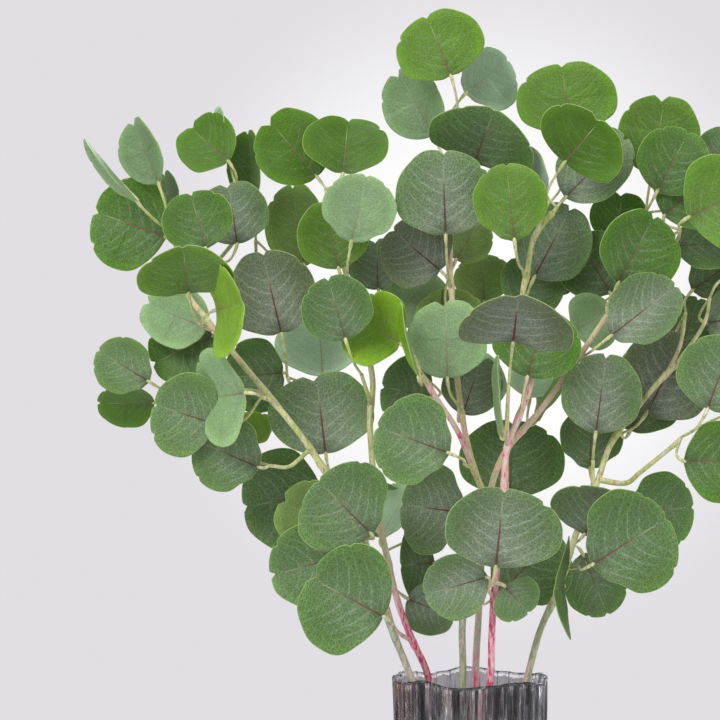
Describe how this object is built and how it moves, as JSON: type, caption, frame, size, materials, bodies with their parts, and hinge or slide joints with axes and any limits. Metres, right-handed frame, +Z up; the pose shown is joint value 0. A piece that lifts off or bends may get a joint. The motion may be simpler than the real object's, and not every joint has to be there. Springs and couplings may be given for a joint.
{
  "type": "eucalyptus stems in a vase",
  "caption": "Leafy eucalyptus stems standing in a pleated smoked-glass vase; rests on the vase's flat underside as table decoration.",
  "frame": {"origin": "centre of the vase's flat underside", "axes": "+Z up, -Y towards the front of the arrangement, +X to its right"},
  "size_m": [0.5096, 0.1879, 0.6856],
  "materials": {
    "leaf": "satin green with pale veins, a red midrib and a grey bloom",
    "stem": "yellow-green to cream, mottled pink low down",
    "smoked_glass": "polished smoked grey glass with upright pleats"
  },
  "bodies": {
    "root": {"front_shoot_1": "leaf", "front_shoot_2": "leaf", "front_shoot_3": "leaf", "front_shoot_4": "leaf", "front_shoot_5": "leaf", "front_shoot_6": "leaf", "front_shoot_7": "leaf", "front_shoot_8": "leaf", "front_stem": "stem", "inner_left_shoot_1": "leaf", "inner_left_shoot_2": "leaf", "inner_left_shoot_3": "leaf", "inner_left_shoot_4": "leaf", "inner_left_shoot_5": "leaf", "inner_left_stem": "stem", "inner_side_branch": "stem", "inner_side_shoot_1": "leaf", "inner_side_shoot_2": "leaf", "left_shoot_1": "leaf", "left_shoot_10": "leaf", "left_shoot_11": "leaf", "left_shoot_12": "leaf", "left_shoot_13": "leaf", "left_shoot_2": "leaf", "left_shoot_3": "leaf", "left_shoot_4": "leaf", "left_shoot_5": "leaf", "left_shoot_6": "leaf", "left_shoot_7": "leaf", "left_shoot_8": "leaf", "left_shoot_9": "leaf", "left_stem": "stem", "middle_shoot_1": "leaf", "middle_shoot_2": "leaf", "middle_shoot_3": "leaf", "middle_shoot_4": "leaf", "middle_shoot_5": "leaf", "middle_shoot_6": "leaf", "middle_shoot_7": "leaf", "middle_stem": "stem", "outer_side_branch": "stem", "outer_side_shoot_1": "leaf", "right_shoot_1": "leaf", "right_shoot_2": "leaf", "right_shoot_3": "leaf", "right_shoot_4": "leaf", "right_shoot_5": "leaf", "right_shoot_6": "leaf", "right_shoot_7": "leaf", "right_shoot_8": "leaf", "right_stem": "stem", "upper_right_shoot_1": "leaf", "upper_right_shoot_2": "leaf", "upper_right_shoot_3": "leaf", "upper_right_shoot_4": "leaf", "upper_right_shoot_5": "leaf", "upper_right_shoot_6": "leaf", "upper_right_stem": "stem", "vase": "smoked_glass"}
  },
  "joints": []
}
